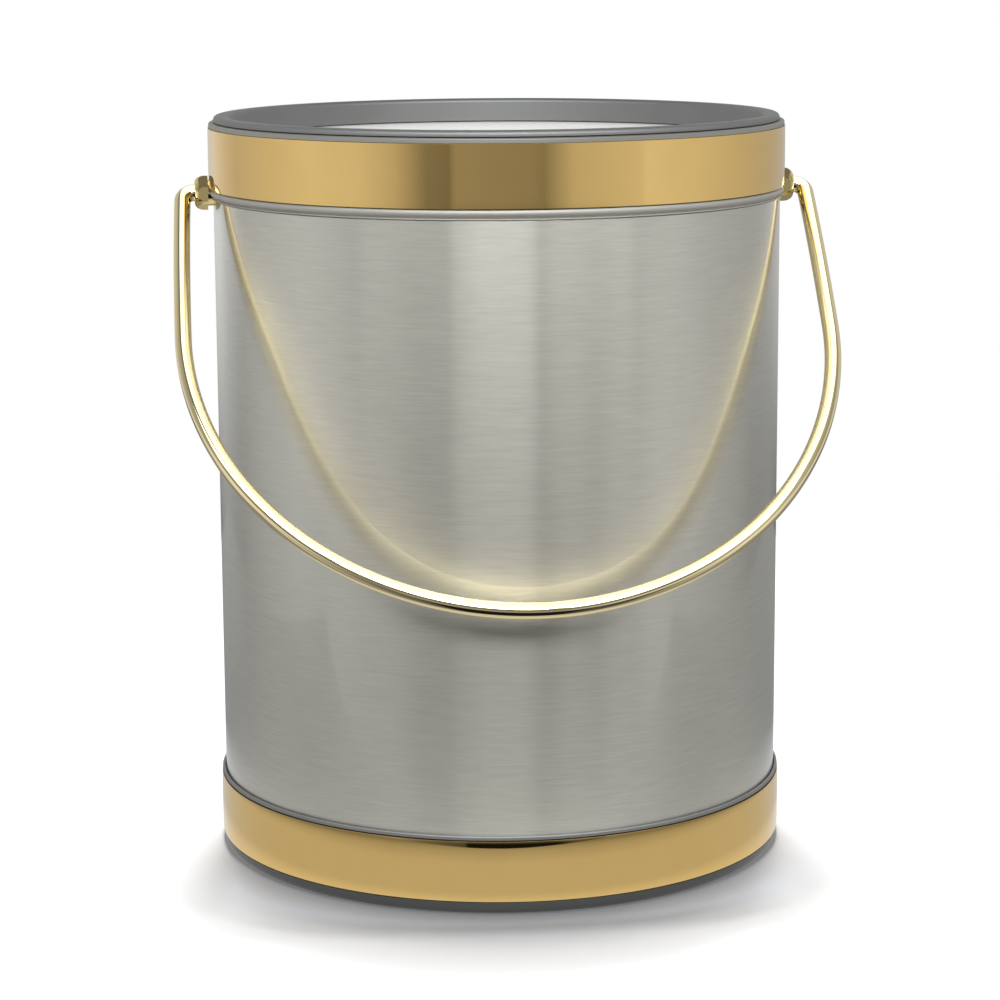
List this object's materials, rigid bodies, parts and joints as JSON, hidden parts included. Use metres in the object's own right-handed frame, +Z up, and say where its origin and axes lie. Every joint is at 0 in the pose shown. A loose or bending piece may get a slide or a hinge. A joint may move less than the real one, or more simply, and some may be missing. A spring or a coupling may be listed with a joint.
{
  "type": "ice bucket",
  "caption": "Round insulated ice bucket with a white liner, brushed wall, gilt bands at the rim and base, and a bail handle that swings over the mouth.",
  "frame": {"origin": "Centre of the flat underside, on the surface that the bucket stands on.", "axes": "+Z is up along the bucket's axis, X runs along the bail's pivot axis, and -Y is the front, where the bail hangs."},
  "size_m": [0.215, 0.202, 0.2447],
  "materials": {
    "white_plastic": "smooth white moulded plastic",
    "grey_plastic": "satin grey moulded plastic",
    "dark_plastic": "satin dark grey moulded plastic",
    "gilt": "polished gilt strip",
    "brushed_laminate": "fine horizontal brush lines under a clear coat",
    "board": "stiff wound board",
    "foam": "expanded foam",
    "brass": "bright brass plating on steel",
    "zinc": "zinc-plated steel"
  },
  "bodies": {
    "bucket": {"inner_liner": "white_plastic", "rim_ring": "grey_plastic", "top_collar": "grey_plastic", "top_band": "gilt", "body_wrap": "brushed_laminate", "body_tube": "board", "foam_sleeve": "foam", "foam_disc": "foam", "base_collar": "dark_plastic", "bottom_band": "gilt", "base_plate": "dark_plastic", "left_post": "brass", "right_post": "brass", "left_washer": "zinc", "right_washer": "zinc", "left_nut": "zinc", "right_nut": "zinc"},
    "bail": {"bail_handle": "brass"}
  },
  "joints": [
    {"name": "bail_swing", "type": "hinge", "parent": "bucket", "child": "bail", "pos_m": [0, 0, 0.2198], "axis": [-1, 0, 0], "range_deg": [-3, 281]}
  ]
}
